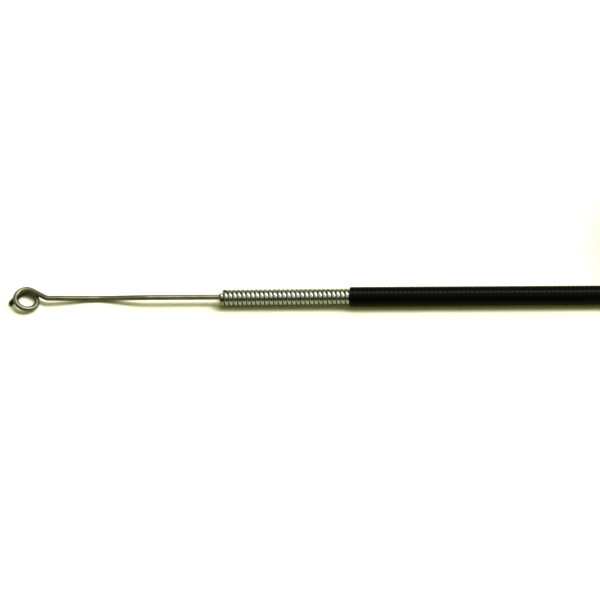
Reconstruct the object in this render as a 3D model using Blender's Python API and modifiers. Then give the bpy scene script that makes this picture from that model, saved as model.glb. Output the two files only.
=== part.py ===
"""Heater control cable: a steel inner wire that slides in a close-wound conduit under a plastic jacket.

Metres, +Z up, the cable lying on z = 0 along X with its near eye towards -X. Both ends are alike: an eye
formed on the wire, a bare stretch of conduit, and the jacket's square cut shoulder. The jacket runs straight
from the near shoulder, and the rest of its length is folded into a hank of two levels that two ties hold.
"""

import math

import bmesh
import bpy
from mathutils import Vector

# Inner wire, with its eye and cut tail
WIRE_DIAMETER = 0.0015
EYE_BORE = 0.00476
EYE_TURN_GAP = 0.0001
EYE_REACH = 0.0564
EYE_ASIDE = 0.0003
DIP_FROM_MOUTH = 0.0359
DIP_ASIDE = 0.0011
DIP_CLEAR = 0.00012
NECK_LENGTH = 0.0029
NECK_BEND_RADIUS = 0.002
TAIL_LEAVES_DEG = 142
TAIL_LENGTH = 0.0042
EYE_DROPS_FROM_DEG = 175

# Conduit, wound to the right from round wire
CONDUIT_WIRE = 0.00125
CONDUIT_TURN_GAP = 0.00006
BORE_PLAY = 0.0004
BARE_CONDUIT = 0.0381
CONDUIT_HIDDEN = 0.0026
CONDUIT_STARTS_DEG = 110
MOUTH_DROOP_SHARE = 0.6
WIRE_ASIDE_SHARE = 0.25

# Jacket
JACKET_WALL = 0.0004
JACKET_FIT = 0.00005
CASING_LENGTH = 0.762

# Wire travel, each way from the middle of its stroke, and what it needs at both ends
TRAVEL = 0.019
STRAIGHT_SPARE = 0.001
END_GAP = 0.001

# Hank, and the straight jacket left at each end
HANK_STARTS = 0.078
FOLD_RADIUS = 0.0245
FAR_CASING = 0.015
LEVEL_GAP = 0.0001
FACE_GAP = 0.0003
TIE_THICKNESS = 0.0005
TIE_WIDTH = 0.004
TIE_FIT = 0.0001

# Fineness of the curves
HELIX_POINTS_PER_TURN = 10
EYE_STEP_DEG = 15
DIP_STEPS = 6
NECK_STEPS = 3
FOLD_STEPS = 16
TUBE_SIDES = 32
ROUND_WIRE_RESOLUTION = 2
MERGE = 0.00001

# Sizes that follow
wire_radius = WIRE_DIAMETER / 2
eye_radius = EYE_BORE / 2 + wire_radius
neck_reach = eye_radius + NECK_LENGTH
bore_radius = wire_radius + BORE_PLAY
helix_radius = bore_radius + CONDUIT_WIRE / 2
conduit_radius = bore_radius + CONDUIT_WIRE
helix_pitch = CONDUIT_WIRE + CONDUIT_TURN_GAP
jacket_bore_radius = conduit_radius + JACKET_FIT
jacket_radius = jacket_bore_radius + JACKET_WALL
jacket_length = CASING_LENGTH - 2 * BARE_CONDUIT
mouth_droop = MOUTH_DROOP_SHARE * BORE_PLAY
wire_aside = WIRE_ASIDE_SHARE * BORE_PLAY
eye_x = -BARE_CONDUIT - EYE_REACH

# Places in the hank, seen from the near shoulder
hank_lift = TIE_THICKNESS + TIE_FIT
level_rise = 2 * jacket_radius + LEVEL_GAP
left_fold_x = HANK_STARTS + jacket_radius + FOLD_RADIUS
run_length = (jacket_length - left_fold_x - 3 * math.pi * FOLD_RADIUS - FAR_CASING) / 3
right_fold_x = left_fold_x + run_length
back_run_y = 2 * FOLD_RADIUS
entry_x = left_fold_x - 2 * math.sqrt(FOLD_RADIUS * jacket_radius)
near_casing = entry_x - FACE_GAP
far_shoulder = Vector((right_fold_x - FAR_CASING, back_run_y, jacket_radius + hank_lift + level_rise))


def material(name, colour, roughness, metallic):
    """A plain Principled material."""
    made = bpy.data.materials.new(name)
    made.use_nodes = True
    shader = made.node_tree.nodes["Principled BSDF"]
    shader.inputs["Base Color"].default_value = (*colour, 1)
    shader.inputs["Roughness"].default_value = roughness
    shader.inputs["Metallic"].default_value = metallic
    made.diffuse_color = (*colour, 1)
    return made


def place(obj, collection, parent, location=(0, 0, 0)):
    """Link an object into a collection, under a parent, at a place."""
    collection.objects.link(obj)
    obj.parent = parent
    obj.location = location
    return obj


def empty(name, collection, parent, location):
    """An empty that carries the pieces of one end."""
    return place(bpy.data.objects.new(name, None), collection, parent, location)


def smooth_step(share):
    """A rise from 0 to 1 that starts and ends level."""
    return share * share * (3 - 2 * share)


def arc(centre, radius, start_deg, end_deg, steps):
    """Points along an arc in the XY plane, both ends included."""
    points = []
    for step in range(steps + 1):
        angle = math.radians(start_deg + (end_deg - start_deg) * step / steps)
        points.append((centre[0] + radius * math.cos(angle), centre[1] + radius * math.sin(angle)))
    return points


def round_wire(name, points, diameter, look):
    """A round wire with flat cut ends along a row of points."""
    curve = bpy.data.curves.new(name, "CURVE")
    curve.dimensions = "3D"
    curve.twist_mode = "MINIMUM"
    curve.bevel_depth = diameter / 2
    curve.bevel_resolution = ROUND_WIRE_RESOLUTION
    curve.use_fill_caps = True
    spline = curve.splines.new("POLY")
    spline.points.add(len(points) - 1)
    for knot, point in zip(spline.points, points):
        knot.co = (*point, 1)
    curve.materials.append(look)
    return bpy.data.objects.new(name, curve)


def plate(name, outlines, thickness, look):
    """A flat plate between closed outlines in the XY plane, centred on z = 0; later outlines are holes."""
    curve = bpy.data.curves.new(name, "CURVE")
    curve.dimensions = "2D"
    curve.fill_mode = "BOTH"
    curve.extrude = thickness / 2
    for outline in outlines:
        spline = curve.splines.new("POLY")
        spline.points.add(len(outline) - 1)
        spline.use_cyclic_u = True
        for knot, (x, y) in zip(spline.points, outline):
            knot.co = (x, y, 0, 1)
    curve.materials.append(look)
    return bpy.data.objects.new(name, curve)


def turned_tube(name, outer_radius, inner_radius, length, look):
    """A tube turned about its own Z axis, from z = 0 up to its length, with square ends."""
    profile = [(outer_radius, length), (outer_radius, 0), (inner_radius, 0), (inner_radius, length)]
    mesh = bpy.data.meshes.new(name)
    corners = [(radius, 0, height) for radius, height in profile]
    sides = [(index, (index + 1) % len(corners)) for index in range(len(corners))]
    mesh.from_pydata(corners, sides, [])
    mesh.materials.append(look)
    tube = bpy.data.objects.new(name, mesh)
    screw = tube.modifiers.new("Screw", "SCREW")
    screw.axis = "Z"
    screw.steps = TUBE_SIDES
    screw.render_steps = TUBE_SIDES
    screw.use_merge_vertices = True
    screw.merge_threshold = MERGE
    return tube


def as_mesh(obj, collection):
    """Turn a curve object into a mesh object of the same name, place and parent, with its caps welded."""
    bpy.context.view_layer.update()
    evaluated = obj.evaluated_get(bpy.context.evaluated_depsgraph_get())
    mesh = bpy.data.meshes.new_from_object(evaluated)
    weld = bmesh.new()
    weld.from_mesh(mesh)
    bmesh.ops.remove_doubles(weld, verts=weld.verts, dist=MERGE)
    weld.to_mesh(mesh)
    weld.free()
    name = obj.name
    world = obj.matrix_world.copy()
    parent = obj.parent
    bpy.data.objects.remove(obj)
    made = bpy.data.objects.new(name, mesh)
    collection.objects.link(made)
    made.parent = parent
    made.matrix_world = world
    return made


def conduit_route():
    """The conduit wire's helix about X, from its cut end at the mouth to its hidden end, shoulder at x = 0."""
    start = -BARE_CONDUIT + CONDUIT_WIRE / 2
    turns = (CONDUIT_HIDDEN - start) / helix_pitch
    steps = round(turns * HELIX_POINTS_PER_TURN)
    points = []
    for step in range(steps + 1):
        share = step / HELIX_POINTS_PER_TURN
        angle = math.radians(CONDUIT_STARTS_DEG) + math.tau * share
        across = helix_radius * math.cos(angle)
        up = helix_radius * math.sin(angle)
        points.append((start + helix_pitch * share, across, up))
    return points


def wire_route(casing):
    """The inner wire's centreline from its hidden end to its tail, its straight part on the X axis.

    The straight part is level and reaches far enough out of the mouth to enter it at full travel. Then the
    wire dips almost to the floor of that end, one jacket radius below the axis, and rises again to the eye,
    whose last turn lies on that floor.
    """
    low = wire_radius - jacket_radius
    high = low + WIRE_DIAMETER + EYE_TURN_GAP
    leaves_deg = math.degrees(math.acos(eye_radius / neck_reach))
    turn_deg = 90 - leaves_deg
    set_back = NECK_BEND_RADIUS * math.tan(math.radians(turn_deg) / 2)
    straight_to = -BARE_CONDUIT - TRAVEL - STRAIGHT_SPARE
    neck_x = eye_x + neck_reach + set_back
    points = [(casing - TRAVEL - END_GAP, 0, 0)]
    stops = [(straight_to, 0, 0), (-BARE_CONDUIT - DIP_FROM_MOUTH, DIP_ASIDE, low + DIP_CLEAR)]
    stops.append((neck_x, EYE_ASIDE, high))
    for start, end in zip(stops, stops[1:]):
        for step in range(DIP_STEPS):
            share = step / DIP_STEPS
            bent = smooth_step(share)
            x = start[0] + (end[0] - start[0]) * share
            y = start[1] + (end[1] - start[1]) * bent
            points.append((x, y, start[2] + (end[2] - start[2]) * bent))
    bend_centre = (neck_x, EYE_ASIDE + NECK_BEND_RADIUS)
    for x, y in arc(bend_centre, NECK_BEND_RADIUS, -90, -90 - turn_deg, NECK_STEPS):
        points.append((x, y, high))
    last_deg = 360 + TAIL_LEAVES_DEG
    steps = math.ceil((last_deg - leaves_deg) / EYE_STEP_DEG)
    for step in range(steps + 1):
        degrees = leaves_deg + (last_deg - leaves_deg) * step / steps
        drop = min(max((degrees - EYE_DROPS_FROM_DEG) / (360 - EYE_DROPS_FROM_DEG), 0), 1)
        x = eye_x + eye_radius * math.cos(math.radians(degrees))
        y = EYE_ASIDE + eye_radius * math.sin(math.radians(degrees))
        points.append((x, y, high + (low - high) * smooth_step(drop)))
    points.append((*tail_tip(), low))
    return points


def tail_tip():
    """Where the middle of the tail's cut end lies, seen from above."""
    angle = math.radians(TAIL_LEAVES_DEG)
    x = eye_x + eye_radius * math.cos(angle) - TAIL_LENGTH * math.sin(angle)
    y = EYE_ASIDE + eye_radius * math.sin(angle) + TAIL_LENGTH * math.cos(angle)
    return x, y


def near_middle():
    """The middle, seen from above, of the near wire and conduit, which is the part's origin."""
    tail_x = tail_tip()[0] + wire_radius * math.cos(math.radians(TAIL_LEAVES_DEG))
    hidden_x = near_casing - TRAVEL - END_GAP
    return (tail_x + hidden_x) / 2, wire_aside + EYE_ASIDE


def casing_end(side, shoulder, casing, looks, collection, frame):
    """One end of the cable: its inner wire with the eye, its conduit and its straight stretch of jacket."""
    end = empty(f"{side}_end", collection, frame, shoulder)
    wire = round_wire(f"{side}_inner_wire", wire_route(casing), WIRE_DIAMETER, looks["wire"])
    place(wire, collection, end, (0, wire_aside, 0))
    conduit = round_wire(f"{side}_conduit", conduit_route(), CONDUIT_WIRE, looks["conduit"])
    place(conduit, collection, end)
    conduit.rotation_euler.y = -math.atan(mouth_droop / BARE_CONDUIT)
    jacket = turned_tube(f"{side}_jacket", jacket_radius, jacket_bore_radius, casing, looks["jacket"])
    place(jacket, collection, end)
    jacket.rotation_euler.y = math.pi / 2
    jacket.data.shade_smooth()


def hank_outlines():
    """The hank seen from above: its outer outline, with a square face where the jacket enters, and its eye."""
    outer = FOLD_RADIUS + jacket_radius
    inner = FOLD_RADIUS - jacket_radius
    right = (right_fold_x, FOLD_RADIUS)
    left = (left_fold_x, FOLD_RADIUS)
    entry_deg = 180 + math.degrees(math.asin(inner / outer))
    outside = [(entry_x, -jacket_radius)]
    outside += arc(right, outer, -90, 90, FOLD_STEPS)
    outside += arc(left, outer, 90, entry_deg, FOLD_STEPS)
    inside = arc(right, inner, -90, 90, FOLD_STEPS) + arc(left, inner, 90, 270, FOLD_STEPS)
    return [outside, inside]


def hank(looks, collection, cutters, frame):
    """The folded jacket as one solid, with the upper level left out where the far end lies on the back run."""
    height = 2 * jacket_radius + level_rise
    solid = plate("jacket_hank", hank_outlines(), height, looks["jacket"])
    place(solid, collection, frame, (0, 0, hank_lift + height / 2))
    solid = as_mesh(solid, collection)
    bpy.ops.mesh.primitive_cube_add(size=1)
    room = bpy.context.object
    room.name = "far_end_room"
    for holder in list(room.users_collection):
        holder.objects.unlink(room)
    room_length = 2 * right_fold_x
    room_width = 2 * FOLD_RADIUS
    place(room, cutters, frame)
    room.scale = (room_length, room_width, 2 * level_rise)
    room.location.x = right_fold_x - room_length / 2
    room.location.y = FOLD_RADIUS + room_width / 2
    room.location.z = hank_lift + 2 * jacket_radius + level_rise
    room.hide_render = True
    room.display_type = "WIRE"
    cut = solid.modifiers.new("Far end room", "BOOLEAN")
    cut.operation = "DIFFERENCE"
    cut.object = room


def tie(name, x, y, looks, collection, frame):
    """A flat band in a closed loop round the two levels of one run."""
    inner_half = jacket_radius + TIE_FIT
    outer_half = inner_half + TIE_THICKNESS
    tall = jacket_radius + level_rise / 2
    loops = []
    for half, reach in ((outer_half, tall + TIE_FIT + TIE_THICKNESS), (inner_half, tall + TIE_FIT)):
        loops.append([(-reach, -half), (reach, -half), (reach, half), (-reach, half)])
    band = plate(name, loops, TIE_WIDTH, looks["tie"])
    place(band, collection, frame, (x, y, hank_lift + tall))
    band.rotation_euler.y = math.pi / 2


def main():
    for obj in list(bpy.data.objects):
        bpy.data.objects.remove(obj)
    collection = bpy.data.collections.new("heater_control_cable")
    cutters = bpy.data.collections.new("cutters")
    bpy.context.scene.collection.children.link(collection)
    bpy.context.scene.collection.children.link(cutters)
    looks = {
        "wire": material("inner_wire_steel", (0.42, 0.42, 0.36), 0.3, 1),
        "conduit": material("conduit_steel", (0.62, 0.64, 0.58), 0.25, 1),
        "jacket": material("jacket_plastic", (0.012, 0.012, 0.01), 0.4, 0),
        "tie": material("tie_plastic", (0.03, 0.03, 0.03), 0.5, 0),
    }
    middle_x, middle_y = near_middle()
    frame = empty("cable_frame", collection, None, (-middle_x, -middle_y, 0))
    casing_end("near", (0, 0, jacket_radius), near_casing, looks, collection, frame)
    far_casing = FAR_CASING - FACE_GAP
    casing_end("far", far_shoulder, far_casing, looks, collection, frame)
    hank(looks, collection, cutters, frame)
    tie("front_tie", left_fold_x + run_length / 2, 0, looks, collection, frame)
    tie("back_tie", right_fold_x - FAR_CASING / 2, back_run_y, looks, collection, frame)


main()
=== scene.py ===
"""The looks of the heater control cable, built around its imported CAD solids.

Metres, in the part's own frame: +X runs along the cable from the near eye, +Z is up, and the cable lies on
z = 0. Both ends are alike, and the length that the photograph doesn't show is folded into a tied hank.
"""

import math

import bpy
import numpy as np
from mathutils import Matrix, Vector

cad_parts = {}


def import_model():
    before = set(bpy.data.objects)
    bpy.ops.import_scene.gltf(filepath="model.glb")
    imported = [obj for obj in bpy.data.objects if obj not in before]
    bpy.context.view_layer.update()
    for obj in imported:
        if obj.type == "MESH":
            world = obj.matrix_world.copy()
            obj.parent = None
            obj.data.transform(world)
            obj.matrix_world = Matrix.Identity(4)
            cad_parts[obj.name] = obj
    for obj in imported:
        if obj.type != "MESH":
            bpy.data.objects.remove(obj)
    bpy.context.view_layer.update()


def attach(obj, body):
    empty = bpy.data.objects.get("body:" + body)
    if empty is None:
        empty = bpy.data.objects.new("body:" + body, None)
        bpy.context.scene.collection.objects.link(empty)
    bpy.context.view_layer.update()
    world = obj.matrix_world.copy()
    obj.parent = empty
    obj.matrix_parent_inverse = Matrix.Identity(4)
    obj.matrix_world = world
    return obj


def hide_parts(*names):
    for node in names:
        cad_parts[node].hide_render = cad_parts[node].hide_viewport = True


# Inner wire with its eye, sized as in the part's source but for a shorter tail
WIRE_DIAMETER = 0.0015
WIRE_ASIDE = 0.0001
WIRE_SPACING = 0.0003
WIRE_SIDES = 20
WIRE_END_BEVEL = 0.0001
EYE_BORE = 0.00476
EYE_TURN_GAP = 0.0001
EYE_REACH = 0.0564
EYE_ASIDE = 0.0003
EYE_DROPS_FROM_DEG = 175
EYE_STEPS = 120
DIP_FROM_MOUTH = 0.0359
DIP_ASIDE = 0.0011
DIP_CLEAR = 0.00012
DIP_STEPS = 40
NECK_LENGTH = 0.0029
NECK_BEND_RADIUS = 0.002
NECK_STEPS = 10
TAIL_LEAVES_DEG = 142
TAIL_LENGTH = 0.0036

# How much darker and rougher the wire is made, from 0 to 1, by the length back from its tail's tip: most at
# the tail, partly just after it and along the neck
WIRE_DARKENING = [
    (0.0035, 1),
    (0.0055, 0.55),
    (0.0085, 0.55),
    (0.0105, 0),
    (0.025, 0),
    (0.028, 0.45),
    (0.031, 0.5),
    (0.035, 0.3),
    (0.043, 0.3),
    (0.052, 0),
]

# Conduit, wound to the right from round wire
CONDUIT_WIRE = 0.00125
CONDUIT_PITCH = 0.00131
HELIX_RADIUS = 0.001775
BARE_CONDUIT = 0.0381
CONDUIT_HIDDEN = 0.0026
CONDUIT_STARTS_DEG = 110
CONDUIT_STEPS_A_TURN = 48
CONDUIT_EARLY_STEPS = 3
CONDUIT_SPACING = 0.00029
CONDUIT_SIDES = 24
CONDUIT_END_BEVEL = 0.00008
CONDUIT_SQUARENESS = 3.1
MOUTH_DROOP = 0.00024
DROOP = Matrix.Rotation(-math.atan(MOUTH_DROOP / BARE_CONDUIT), 3, "Y")

# How far the conduit's wire is browned, from 0 to 1, by the length from its cut end: tarnish on the cut
# first turn, and a darker brown patch over the top of the second turn
CONDUIT_DARKENING = [
    (0.0022, 0.6),
    (0.0031, 0.1),
    (0.0075, 0.1),
    (0.0084, 1),
    (0.0106, 1),
    (0.0112, 0.3),
    (0.0128, 0),
]

# Jacket and its route from the near shoulder
JACKET_RADIUS = 0.00285
JACKET_BORE_RADIUS = 0.00245
JACKET_RIPPLE = 0.000026
JACKET_EDGE = 0.00008
JACKET_SIDES = 32
JACKET_RINGS_A_PITCH = 6
BORE_STRIDE = 12
PATH_STRIDE = 8
NEAR_CASING = 0.0883382
FAR_CASING = 0.0147
FAR_STRAIGHT_SPARE = 0.0003
TRAVEL_AND_GAP = 0.02
FOLD_RADIUS = 0.0245
FOLD_STEPS = 72
LEFT_FOLD_X = 0.10535
RIGHT_FOLD_X = 0.2168641
BACK_RUN_Y = 0.049
LEVEL_RISE = 0.0058
HANK_LIFT = 0.0006
RISE_FROM_X = 0.075
RISE_TO_X = 0.1
RISE_STEPS = 60
CLIMB_FROM_DEG = 30
CLIMB_TO_DEG = 155

# Ties round the two levels of the hank, each with a head and the cut tail of its strap
TIE_CLEAR = 0.00004
TIE_THICK = 0.00055
TIE_HALF_WIDTH = 0.002
TIE_SIDE_SHARE = 0.75
TIE_TOP_SHARE = 0.9
TIE_ROUND_STEPS = 24
TIE_CREASE_DEG = 40
TIE_HEAD = {"size": (0.0054, 0.0034, 0.0046), "trim": 0.0006, "out": 0.0015, "up": 0}
TIE_TAIL = {"size": (0.0038, 0.0011, 0.0022), "trim": 0.0002, "out": 0.0017, "up": 0.003}
BACK_TIE_PAST_SHOULDER = 0.0075

# The near shoulder on the casing's axis, in the part's frame
SHOULDER = Vector((0.0159028, -0.0004, JACKET_RADIUS))

# Name, degrees over from the front horizon, degrees aside towards the hank, strength, width in degrees,
# colour, and whether the metal mirrors it: the last two are only for the shadow on the floor
LAMPS = [
    ("near_lamp", 107, 5, 1.1, 20, (1, 1, 1), True),
    ("middle_lamp", 99, 26, 0.95, 25, (1, 1, 1), True),
    ("far_lamp", 97, 48, 0.95, 25, (1, 1, 1), True),
    ("wide_lamp", 106, 0, 0.38, 100, (1, 1, 1), True),
    ("shade_lamp", 103, 25, 1.2, 16, (1, 1, 1), False),
    ("back_lamp", 122, 15, 1.52, 50, (1.1, 1.1, 0.75), False),
]

# The room that the cable mirrors, by the share of the way over it from the front horizon to the back one
ROOM = [
    (0.0, (0.15, 0.165, 0.09)),
    (0.04, (0.035, 0.046, 0.018)),
    (0.25, (0.04, 0.05, 0.022)),
    (0.31, (0.55, 0.58, 0.46)),
    (0.46, (0.55, 0.58, 0.46)),
    (0.55, (0.28, 0.3, 0.23)),
    (0.8, (0.28, 0.3, 0.23)),
    (0.9, (0.12, 0.13, 0.09)),
    (1.0, (0.26, 0.28, 0.2)),
]
FILL_COLOUR = (0.9, 1, 0.05, 1)
FILL_STRENGTH = 0.216
WHITE = (1, 1, 1, 1)

# The sheet's colour in soft bounces, in mirrors, and to the camera, where it burns out to white
SHEET_SIZE = 30
SHEET_DROP = 0.00001
SHEET_PLAIN = (0.49, 0.49, 0.46, 1)
SHEET_MIRRORED = (0.367, 0.39, 0.298, 1)
SHEET_SEEN = (0.733, 0.721, 0.65, 1)


def smooth_step(share):
    """A rise from 0 to 1 that starts and ends level."""
    share = min(max(share, 0), 1)
    return share * share * (3 - 2 * share)


def resample(points, spacing):
    """The same line with points at an even spacing, and the length from its start to each."""
    points = np.array(points, dtype=float)
    reach = np.concatenate([[0], np.cumsum(np.linalg.norm(np.diff(points, axis=0), axis=1))])
    count = max(2, int(round(reach[-1] / spacing)) + 1)
    at = np.linspace(0, reach[-1], count)
    return np.stack([np.interp(at, reach, points[:, axis]) for axis in range(3)], axis=1), at


def frames(line, outward=None):
    """Two directions across the line at each point, the first near outward or else carried on from up."""
    tangents = np.gradient(line, axis=0)
    tangents /= np.linalg.norm(tangents, axis=1)[:, None]
    if outward is not None:
        sides = outward - tangents * np.sum(outward * tangents, axis=1)[:, None]
        sides /= np.linalg.norm(sides, axis=1)[:, None]
        return sides, np.cross(tangents, sides)
    up = np.array([0.0, 0.0, 1.0])
    across = up - tangents[0] * (tangents[0] @ up)
    across /= np.linalg.norm(across)
    sides = [across]
    for tangent in tangents[1:]:
        across = across - tangent * (tangent @ across)
        across = across / np.linalg.norm(across)
        sides.append(across)
    sides = np.array(sides)
    return sides, np.cross(tangents, sides)


def rings_round(line, first, second, angles, reach):
    """Rings of points round a line, each point at its own reach."""
    across = (
        np.cos(angles)[None, :, None] * first[:, None, :]
        + np.sin(angles)[None, :, None] * second[:, None, :]
    )
    return line[:, None, :] + reach[:, :, None] * across


def drawn_in(at, bevel):
    """How far a skin is drawn in near its two ends, so that their edges are slightly rounded."""
    short = np.clip(bevel - np.minimum(at, at[-1] - at), 0, bevel)
    return bevel - np.sqrt(bevel**2 - short**2)


def tube_faces(count, sides, closed):
    """The faces between rings of points, with the last ring joined to the first if closed."""
    faces = []
    for row in range(count if closed else count - 1):
        a = row * sides
        b = (row + 1) % count * sides
        for column in range(sides):
            after = (column + 1) % sides
            faces.append((a + column, a + after, b + after, b + column))
    return faces


def mesh_object(name, corners, faces, look):
    """A new object with one material."""
    mesh = bpy.data.meshes.new(name)
    mesh.from_pydata(corners, [], faces)
    mesh.materials.append(look)
    made = bpy.data.objects.new(name, mesh)
    bpy.context.scene.collection.objects.link(made)
    return made


def add_grain(mesh, angles, lengths):
    """The direction round the wire and the length along it, kept on the mesh for its material."""
    grain = np.empty((len(lengths), len(angles), 3), dtype=np.float32)
    grain[:, :, 0] = np.cos(angles)
    grain[:, :, 1] = np.sin(angles)
    grain[:, :, 2] = lengths[:, None]
    layer = mesh.attributes.new("grain", "FLOAT_VECTOR", "POINT")
    layer.data.foreach_set("vector", grain.reshape(-1))


def swept_wire(
    name, points, spacing, radius, sides, look, bevel, darkening, from_end=False, outward=None, power=2
):
    """A wire along a line, darkened in places counted from its start or its end; above 2, power squares it.
    """
    line, at = resample(points, spacing)
    first, second = frames(line, outward(line) if outward else None)
    angles = np.linspace(0, math.tau, sides, endpoint=False)
    bulge = (abs(np.cos(angles)) ** power + abs(np.sin(angles)) ** power) ** (-1 / power)
    reach = (radius - drawn_in(at, bevel))[:, None] * bulge
    rings = rings_round(line, first, second, angles, reach)
    faces = tube_faces(len(line), sides, closed=False)
    walls = len(faces)
    faces.append(tuple(range(sides - 1, -1, -1)))
    faces.append(tuple(range((len(line) - 1) * sides, len(line) * sides)))
    made = mesh_object(name, rings.reshape(-1, 3).tolist(), faces, look)
    mesh = made.data
    mesh.polygons.foreach_set("use_smooth", [index < walls for index in range(len(faces))])
    add_grain(mesh, angles, at / radius)
    darkened = np.interp(at[-1] - at if from_end else at, *zip(*darkening))
    layer = mesh.attributes.new("darkening", "FLOAT", "POINT")
    layer.data.foreach_set("value", np.repeat(darkened, sides).astype(np.float32))
    mesh.validate()
    return made


def wire_route(casing):
    """The inner wire's centreline from its hidden end to its tail, from the shoulder, as in the source."""
    wire_radius = WIRE_DIAMETER / 2
    eye_radius = EYE_BORE / 2 + wire_radius
    neck_reach = eye_radius + NECK_LENGTH
    eye_x = -BARE_CONDUIT - EYE_REACH
    low = wire_radius - JACKET_RADIUS
    high = low + WIRE_DIAMETER + EYE_TURN_GAP
    leaves_deg = math.degrees(math.acos(eye_radius / neck_reach))
    turn_deg = 90 - leaves_deg
    set_back = NECK_BEND_RADIUS * math.tan(math.radians(turn_deg) / 2)
    neck_x = eye_x + neck_reach + set_back
    points = [(casing - TRAVEL_AND_GAP, 0, 0)]
    stops = [
        (-BARE_CONDUIT - TRAVEL_AND_GAP, 0, 0),
        (-BARE_CONDUIT - DIP_FROM_MOUTH, DIP_ASIDE, low + DIP_CLEAR),
        (neck_x, EYE_ASIDE, high),
    ]
    for start, end in zip(stops, stops[1:]):
        for step in range(DIP_STEPS):
            share = step / DIP_STEPS
            bent = smooth_step(share)
            x = start[0] + (end[0] - start[0]) * share
            y = start[1] + (end[1] - start[1]) * bent
            points.append((x, y, start[2] + (end[2] - start[2]) * bent))
    for step in range(NECK_STEPS + 1):
        angle = math.radians(-90 - turn_deg * step / NECK_STEPS)
        x = neck_x + NECK_BEND_RADIUS * math.cos(angle)
        y = EYE_ASIDE + NECK_BEND_RADIUS + NECK_BEND_RADIUS * math.sin(angle)
        points.append((x, y, high))
    last_deg = 360 + TAIL_LEAVES_DEG
    for step in range(EYE_STEPS + 1):
        degrees = leaves_deg + (last_deg - leaves_deg) * step / EYE_STEPS
        drop = (degrees - EYE_DROPS_FROM_DEG) / (360 - EYE_DROPS_FROM_DEG)
        x = eye_x + eye_radius * math.cos(math.radians(degrees))
        y = EYE_ASIDE + eye_radius * math.sin(math.radians(degrees))
        points.append((x, y, high + (low - high) * smooth_step(drop)))
    angle = math.radians(TAIL_LEAVES_DEG)
    x = eye_x + eye_radius * math.cos(angle) - TAIL_LENGTH * math.sin(angle)
    y = EYE_ASIDE + eye_radius * math.sin(angle) + TAIL_LENGTH * math.cos(angle)
    points.append((x, y, low))
    return points


def conduit_route():
    """The conduit wire's helix, drooping at the mouth, from the shoulder."""
    start = -BARE_CONDUIT + CONDUIT_WIRE / 2
    turns = (CONDUIT_HIDDEN - start) / CONDUIT_PITCH
    steps = round(turns * CONDUIT_STEPS_A_TURN)
    points = []
    for step in range(-CONDUIT_EARLY_STEPS, steps + 1):
        share = turns * step / steps
        angle = math.radians(CONDUIT_STARTS_DEG) + math.tau * share
        across = HELIX_RADIUS * math.cos(angle)
        up = HELIX_RADIUS * math.sin(angle)
        points.append(tuple(DROOP @ Vector((start + CONDUIT_PITCH * share, across, up))))
    return points


def from_droop_axis(line):
    """The direction from the conduit's own axis to each point of its wire."""
    axis = np.array(DROOP @ Vector((1, 0, 0)))
    return line - np.outer(line @ axis, axis)


def jacket_route():
    """The whole jacket's centreline from the near shoulder, through the hank, to the far shoulder."""
    low = HANK_LIFT
    high = HANK_LIFT + LEVEL_RISE
    points = []
    for step in range(RISE_STEPS + 1):
        x = LEFT_FOLD_X * step / RISE_STEPS
        points.append((x, 0, low * smooth_step((x - RISE_FROM_X) / (RISE_TO_X - RISE_FROM_X))))
    points += [(RIGHT_FOLD_X, 0, low)]
    points += fold(RIGHT_FOLD_X, -90, low, low)
    points += [(LEFT_FOLD_X, BACK_RUN_Y, low)]
    points += fold(LEFT_FOLD_X, 90, low, high)
    points += [(RIGHT_FOLD_X, 0, high)]
    points += fold(RIGHT_FOLD_X, -90, high, high)
    points += [(RIGHT_FOLD_X - FAR_CASING - FAR_STRAIGHT_SPARE, BACK_RUN_Y, high)]
    return points


def fold(centre_x, start_deg, start_up, end_up):
    """Half a turn of the hank, counted from just after its first point."""
    points = []
    for step in range(1, FOLD_STEPS + 1):
        turned = 180 * step / FOLD_STEPS
        angle = math.radians(start_deg + turned)
        climbed = smooth_step((turned - CLIMB_FROM_DEG) / (CLIMB_TO_DEG - CLIMB_FROM_DEG))
        x = centre_x + FOLD_RADIUS * math.cos(angle)
        y = FOLD_RADIUS + FOLD_RADIUS * math.sin(angle)
        points.append((x, y, start_up + (end_up - start_up) * climbed))
    return points


def jacket_tube(look):
    """The jacket as one hollow tube whose skin ripples faintly over the conduit's turns, and its path."""
    line, at = resample(jacket_route(), CONDUIT_PITCH / JACKET_RINGS_A_PITCH)
    line = line + np.array(SHOULDER)
    first, second = frames(line)
    angles = np.linspace(0, math.tau, JACKET_SIDES, endpoint=False)
    ripple = JACKET_RIPPLE * np.cos(math.tau * at[:, None] / CONDUIT_PITCH - angles)
    reach = (JACKET_RADIUS - JACKET_RIPPLE - drawn_in(at, JACKET_EDGE))[:, None] + ripple
    outer = rings_round(line, first, second, angles, reach)
    back = list(range(len(line) - 1, 0, -BORE_STRIDE)) + [0]
    bore = np.full((len(back), JACKET_SIDES), JACKET_BORE_RADIUS)
    inner = rings_round(line[back], first[back], second[back], angles, bore)
    rings = np.concatenate([outer, inner])
    faces = tube_faces(len(rings), JACKET_SIDES, closed=True)
    made = mesh_object("jacket_extruded", rings.reshape(-1, 3).tolist(), faces, look)
    cuts = {len(outer) - 1, len(rings) - 1}
    smooth = [index // JACKET_SIDES not in cuts for index in range(len(faces))]
    made.data.polygons.foreach_set("use_smooth", smooth)
    add_grain(made.data, angles, np.concatenate([at, np.zeros(len(inner))]) / JACKET_RADIUS)
    return made, line[::PATH_STRIDE]


def nodes_of(name):
    """A new material and its node tree, with the Principled shader."""
    made = bpy.data.materials.new(name)
    made.use_nodes = True
    tree = made.node_tree
    return made, tree, tree.nodes["Principled BSDF"]


def attribute(tree, name, output):
    """What the mesh keeps under a name."""
    made = tree.nodes.new("ShaderNodeAttribute")
    made.attribute_name = name
    return made.outputs[output]


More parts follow.
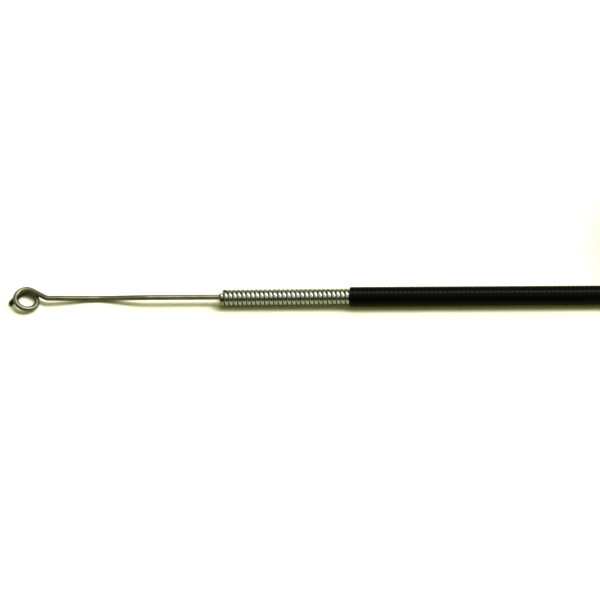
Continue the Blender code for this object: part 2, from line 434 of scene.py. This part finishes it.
def noise(tree, vector, scale, detail, stretch):
    """A noise whose grain can be drawn out along one axis."""
    mapping = tree.nodes.new("ShaderNodeMapping")
    mapping.inputs["Scale"].default_value = stretch
    tree.links.new(vector, mapping.inputs["Vector"])
    made = tree.nodes.new("ShaderNodeTexNoise")
    made.inputs["Scale"].default_value = scale
    made.inputs["Detail"].default_value = detail
    tree.links.new(mapping.outputs["Vector"], made.inputs["Vector"])
    return made.outputs["Fac"]


def ramp(tree, factor, stops):
    """A colour ramp through stops of place and colour."""
    made = tree.nodes.new("ShaderNodeValToRGB")
    elements = made.color_ramp.elements
    for element, (place, colour) in ((elements[0], stops[0]), (elements[1], stops[-1])):
        element.position = place
        element.color = (*colour, 1)
    for place, colour in stops[1:-1]:
        elements.new(place).color = (*colour, 1)
    tree.links.new(factor, made.inputs["Fac"])
    return made.outputs["Color"]


def ranged(tree, value, low, high, from_low=0, from_high=1):
    """A number between two limits that follows a value between two others."""
    made = tree.nodes.new("ShaderNodeMapRange")
    made.inputs["From Min"].default_value = from_low
    made.inputs["From Max"].default_value = from_high
    made.inputs["To Min"].default_value = low
    made.inputs["To Max"].default_value = high
    tree.links.new(value, made.inputs["Value"])
    return made.outputs["Result"]


def calculated(tree, operation, *values):
    """The result of one step of arithmetic on numbers or sockets."""
    made = tree.nodes.new("ShaderNodeMath")
    made.operation = operation
    for socket, value in zip(made.inputs, values):
        if isinstance(value, (int, float)):
            socket.default_value = value
        else:
            tree.links.new(value, socket)
    return made.outputs[0]


def mixed(tree, factor, first, second):
    """A colour between two, each given as a colour or a socket."""
    made = tree.nodes.new("ShaderNodeMix")
    made.data_type = "RGBA"
    tree.links.new(factor, made.inputs[0])
    for socket, colour in ((made.inputs[6], first), (made.inputs[7], second)):
        if isinstance(colour, tuple):
            socket.default_value = colour
        else:
            tree.links.new(colour, socket)
    return made.outputs[2]


def split(tree, vector):
    """The three numbers of a vector."""
    made = tree.nodes.new("ShaderNodeSeparateXYZ")
    tree.links.new(vector, made.inputs[0])
    return made.outputs


def bump(tree, height, distance, strength):
    """A bump of a real depth in metres."""
    made = tree.nodes.new("ShaderNodeBump")
    made.inputs["Distance"].default_value = distance
    made.inputs["Strength"].default_value = strength
    tree.links.new(height, made.inputs["Height"])
    return made.outputs["Normal"]


def wire_look():
    """Drawn steel, made darker and rougher in places, with fine marks along the wire."""
    made, tree, shader = nodes_of("drawn_steel_wire")
    grain = attribute(tree, "grain", "Vector")
    darkening = attribute(tree, "darkening", "Fac")
    marks = noise(tree, grain, scale=6, detail=3, stretch=(1, 1, 0.02))
    blotches = noise(tree, grain, scale=1, detail=2, stretch=(0.6, 0.6, 0.25))
    shader.inputs["Metallic"].default_value = 1
    steel = ramp(tree, blotches, [(0.35, (0.16, 0.152, 0.092)), (0.65, (0.235, 0.226, 0.15))])
    # Where the darkening is high, the steel goes nearly black and rougher, which dims its highlight
    darkened_steel = (0.03, 0.028, 0.013, 1)
    rougher_when_darkened = 0.35
    tree.links.new(mixed(tree, darkening, steel, darkened_steel), shader.inputs["Base Color"])
    polish = ranged(tree, marks, low=0.27, high=0.4)
    roughness = calculated(tree, "MULTIPLY_ADD", darkening, rougher_when_darkened, polish)
    tree.links.new(roughness, shader.inputs["Roughness"])
    tree.links.new(bump(tree, marks, distance=0.00002, strength=0.5), shader.inputs["Normal"])
    return made


def conduit_look():
    """Bright zinc-plated round wire, with painted shade darkening the flanks where its turns meet, brown
    tarnish on the cut first turn, and a brown patch over the top of the second turn.
    """
    made, tree, shader = nodes_of("zinc_plated_conduit")
    grain = attribute(tree, "grain", "Vector")
    marks = noise(tree, grain, scale=5, detail=3, stretch=(1, 1, 0.03))
    blotches = noise(tree, grain, scale=1, detail=2, stretch=(0.6, 0.6, 0.2))
    shader.inputs["Metallic"].default_value = 1
    zinc = ramp(tree, blotches, [(0.3, (0.39, 0.41, 0.33)), (0.7, (0.51, 0.53, 0.44))])
    # Painted shade: the flanks of each turn, where they meet the next, are darkened towards this colour
    painted_groove_shade = (0.026, 0.036, 0.016, 1)
    # Brown for the cut first turn's tarnish and for a patch over the second turn's top
    brown = (0.14, 0.07, 0.05, 1)
    groove_shade_mask = ranged(tree, split(tree, grain)["X"], low=0, high=1, from_low=0.74, from_high=0.34)
    zinc_with_groove_shade = mixed(tree, groove_shade_mask, zinc, painted_groove_shade)
    colour = mixed(tree, attribute(tree, "darkening", "Fac"), zinc_with_groove_shade, brown)
    tree.links.new(colour, shader.inputs["Base Color"])
    tree.links.new(ranged(tree, marks, low=0.15, high=0.27), shader.inputs["Roughness"])
    tree.links.new(bump(tree, marks, distance=0.00001, strength=0.5), shader.inputs["Normal"])
    return made


def jacket_look():
    """Black extruded plastic with a faint sheen."""
    made, tree, shader = nodes_of("black_jacket")
    grain = attribute(tree, "grain", "Vector")
    streaks = noise(tree, grain, scale=3, detail=3, stretch=(1, 1, 0.04))
    specks = noise(tree, grain, scale=9, detail=4, stretch=(1, 1, 1))
    colour = ramp(tree, specks, [(0.3, (0.001, 0.0011, 0.0007)), (0.7, (0.0017, 0.0018, 0.0012))])
    tree.links.new(colour, shader.inputs["Base Color"])
    tree.links.new(ranged(tree, streaks, low=0.2, high=0.28), shader.inputs["Roughness"])
    shader.inputs["Specular IOR Level"].default_value = 0.046
    tree.links.new(bump(tree, specks, distance=0.00001, strength=0.4), shader.inputs["Normal"])
    return made


def tie_look():
    """Moulded black nylon."""
    made, tree, shader = nodes_of("black_nylon_tie")
    place = tree.nodes.new("ShaderNodeTexCoord").outputs["Object"]
    cloud = noise(tree, place, scale=900, detail=3, stretch=(1, 1, 1))
    colour = ramp(tree, cloud, [(0.3, (0.006, 0.006, 0.006)), (0.7, (0.011, 0.011, 0.011))])
    tree.links.new(colour, shader.inputs["Base Color"])
    tree.links.new(ranged(tree, cloud, low=0.38, high=0.52), shader.inputs["Roughness"])
    tree.links.new(bump(tree, cloud, distance=0.00001, strength=0.4), shader.inputs["Normal"])
    return made


def trimmed_box(middle, size, trim):
    """The corners and faces of an upright box with trimmed edges."""
    x, y, z = (value / 2 for value in size)
    outline = [(x, trim - y), (x, y - trim), (x - trim, y), (trim - x, y)]
    outline += [(-across, -along) for across, along in outline]
    corners = []
    for up, inset in ((-z, trim), (trim - z, 0), (z - trim, 0), (z, trim)):
        for across, along in outline:
            place = Vector((across * (1 - inset / x), along * (1 - inset / y), up))
            corners.append(tuple(middle + place))
    per = len(outline)
    faces = [tuple(range(per - 1, -1, -1)), tuple(range(3 * per, 4 * per))]
    return corners, faces + tube_faces(4, per, closed=False)


def tie_band(name, centre, inward, look):
    """A flat tie drawn round the two levels of a run, its head on the hank's inner side."""
    inner = JACKET_RADIUS + TIE_CLEAR
    outer = inner + TIE_THICK
    shoulder = inner + TIE_THICK * TIE_SIDE_SHARE
    top = TIE_HALF_WIDTH * TIE_TOP_SHARE
    low = HANK_LIFT + JACKET_RADIUS
    high = low + LEVEL_RISE
    outline = []
    for start, level in ((0, high), (math.pi, low)):
        for step in range(TIE_ROUND_STEPS + 1):
            angle = start + math.pi * step / TIE_ROUND_STEPS
            outline.append((math.cos(angle), math.sin(angle), level))
    section = [
        (inner, -TIE_HALF_WIDTH),
        (inner, TIE_HALF_WIDTH),
        (shoulder, TIE_HALF_WIDTH),
        (outer, top),
        (outer, -top),
        (shoulder, -TIE_HALF_WIDTH),
    ]
    corners = []
    for across, up, level in outline:
        for reach, along in section:
            corners.append((centre[0] + along, centre[1] + across * reach, level + up * reach))
    faces = [(a, d, c, b) for a, b, c, d in tube_faces(len(outline), len(section), closed=True)]
    level = (low + high) / 2
    for box in (TIE_HEAD, TIE_TAIL):
        middle = Vector((centre[0], centre[1] + inward * (inner + box["out"]), level + box["up"]))
        added, sheets = trimmed_box(middle, box["size"], box["trim"])
        first = len(corners)
        corners += added
        faces += [tuple(first + corner for corner in sheet) for sheet in sheets]
    made = mesh_object(name, corners, faces, look)
    made.data.shade_smooth()
    split_edges = made.modifiers.new("Crisp edges", "EDGE_SPLIT")
    split_edges.split_angle = math.radians(TIE_CREASE_DEG)
    return made


def sun(name, over_deg, aside_deg, strength, width_deg, colour, mirrored):
    """A far lamp, so far over from the front horizon and so far aside towards the hank."""
    lamp = bpy.data.lights.new(name, "SUN")
    lamp.energy = strength
    lamp.angle = math.radians(width_deg)
    lamp.color = colour
    made = bpy.data.objects.new(name, lamp)
    made.visible_glossy = mirrored
    over = math.radians(over_deg)
    aside = math.radians(aside_deg)
    towards = Vector((math.sin(aside), -math.cos(over) * math.cos(aside), math.sin(over) * math.cos(aside)))
    made.rotation_mode = "QUATERNION"
    made.rotation_quaternion = towards.to_track_quat("Z", "Y")
    bpy.context.scene.collection.objects.link(made)


def camera():
    """A long lens at the photograph's viewing angle."""
    elevation = math.radians(57)
    roll = math.radians(0.35)
    width = 0.1752
    distance = 1.4
    sensor = 36
    target_x = 0.001377
    target_below_shoulder = 0.000888
    data = bpy.data.cameras.new("camera")
    data.sensor_width = sensor
    data.lens = sensor * distance / width
    data.clip_start = 0.05
    data.clip_end = 50
    made = bpy.data.objects.new("camera", data)
    bpy.context.scene.collection.objects.link(made)
    back = Vector((0, -math.cos(elevation), math.sin(elevation)))
    up = Vector((0, math.sin(elevation), math.cos(elevation)))
    target = Vector((target_x, SHOULDER.y, SHOULDER.z)) - target_below_shoulder * up
    made.rotation_mode = "QUATERNION"
    made.rotation_quaternion = back.to_track_quat("Z", "Y") @ Matrix.Rotation(-roll, 3, "Z").to_quaternion()
    made.location = target + back * distance
    bpy.context.scene.camera = made


def floor():
    """A white sheet that keeps the cable's shadow."""
    bpy.ops.mesh.primitive_plane_add(size=SHEET_SIZE, location=(0, 0, -SHEET_DROP))
    sheet = bpy.context.object
    sheet.name = "floor"
    made = bpy.data.materials.new("white_sheet")
    made.use_nodes = True
    tree = made.node_tree
    tree.nodes.clear()
    output = tree.nodes.new("ShaderNodeOutputMaterial")
    paper = tree.nodes.new("ShaderNodeBsdfDiffuse")
    path = tree.nodes.new("ShaderNodeLightPath")
    mirrored = mixed(tree, path.outputs["Is Glossy Ray"], SHEET_PLAIN, SHEET_MIRRORED)
    through = mixed(tree, path.outputs["Is Transmission Ray"], mirrored, WHITE)
    seen = mixed(tree, path.outputs["Is Camera Ray"], through, SHEET_SEEN)
    tree.links.new(seen, paper.inputs["Color"])
    tree.links.new(paper.outputs[0], output.inputs["Surface"])
    sheet.data.materials.append(made)


def world():
    """Soft fill for the floor's shadow, a white background, and a dim room in the cable's reflections."""
    made = bpy.data.worlds.new("studio")
    bpy.context.scene.world = made
    made.use_nodes = True
    tree = made.node_tree
    tree.nodes.clear()
    output = tree.nodes.new("ShaderNodeOutputWorld")
    fill = tree.nodes.new("ShaderNodeBackground")
    fill.inputs["Color"].default_value = FILL_COLOUR
    fill.inputs["Strength"].default_value = FILL_STRENGTH
    direction = split(tree, tree.nodes.new("ShaderNodeTexCoord").outputs["Generated"])
    forward = calculated(tree, "MULTIPLY", direction["Y"], -1)
    over = calculated(tree, "ARCTAN2", direction["Z"], forward)
    room = ramp(tree, calculated(tree, "DIVIDE", over, math.pi), ROOM)
    path = tree.nodes.new("ShaderNodeLightPath").outputs
    shown = tree.nodes.new("ShaderNodeBackground")
    tree.links.new(mixed(tree, path["Is Camera Ray"], room, WHITE), shown.inputs["Color"])
    seen = calculated(tree, "MAXIMUM", path["Is Camera Ray"], path["Is Glossy Ray"])
    seen = calculated(tree, "MAXIMUM", seen, path["Is Transmission Ray"])
    chosen = tree.nodes.new("ShaderNodeMixShader")
    tree.links.new(seen, chosen.inputs[0])
    tree.links.new(fill.outputs[0], chosen.inputs[1])
    tree.links.new(shown.outputs[0], chosen.inputs[2])
    tree.links.new(chosen.outputs[0], output.inputs["Surface"])


def cable_end(side, shoulder, casing, wire_steel, conduit_steel):
    """The finer wire and conduit of one end."""
    wire = swept_wire(
        f"{side}_wire_drawn",
        wire_route(casing),
        WIRE_SPACING,
        WIRE_DIAMETER / 2,
        WIRE_SIDES,
        wire_steel,
        WIRE_END_BEVEL,
        WIRE_DARKENING,
        from_end=True,
    )
    wire.location = shoulder + Vector((0, WIRE_ASIDE, 0))
    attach(wire, f"{side}_wire")
    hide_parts(f"{side}_inner_wire")
    conduit = swept_wire(
        f"{side}_conduit_wound",
        conduit_route(),
        CONDUIT_SPACING,
        CONDUIT_WIRE / 2,
        CONDUIT_SIDES,
        conduit_steel,
        CONDUIT_END_BEVEL,
        CONDUIT_DARKENING,
        outward=from_droop_axis,
        power=CONDUIT_SQUARENESS,
    )
    conduit.location = shoulder
    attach(conduit, "casing")
    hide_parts(f"{side}_conduit")
    return wire, conduit


def main():
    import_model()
    camera()
    jacket, path = jacket_tube(jacket_look())
    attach(jacket, "casing")
    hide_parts("near_jacket", "jacket_hank", "far_jacket")
    wire_steel = wire_look()
    conduit_steel = conduit_look()
    nylon = tie_look()
    far_x = RIGHT_FOLD_X - FAR_CASING - FAR_STRAIGHT_SPARE
    far_shoulder = SHOULDER + Vector((far_x, BACK_RUN_Y, HANK_LIFT + LEVEL_RISE))
    cable_end("near", SHOULDER, NEAR_CASING, wire_steel, conduit_steel)
    far_wire, far_conduit = cable_end("far", far_shoulder, FAR_CASING, wire_steel, conduit_steel)
    places = {
        "front": (SHOULDER.x + (LEFT_FOLD_X + RIGHT_FOLD_X) / 2, SHOULDER.y, 1),
        "back": (far_shoulder.x + BACK_TIE_PAST_SHOULDER, far_shoulder.y, -1),
    }
    for side, (x, y, inward) in places.items():
        tie = tie_band(f"{side}_tie_band", (x, y), inward, nylon)
        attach(tie, "casing")
        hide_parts(f"{side}_tie")
    floor()
    world()
    for lamp in LAMPS:
        sun(*lamp)
    scene = bpy.context.scene
    scene.view_settings.view_transform = "Standard"


main()
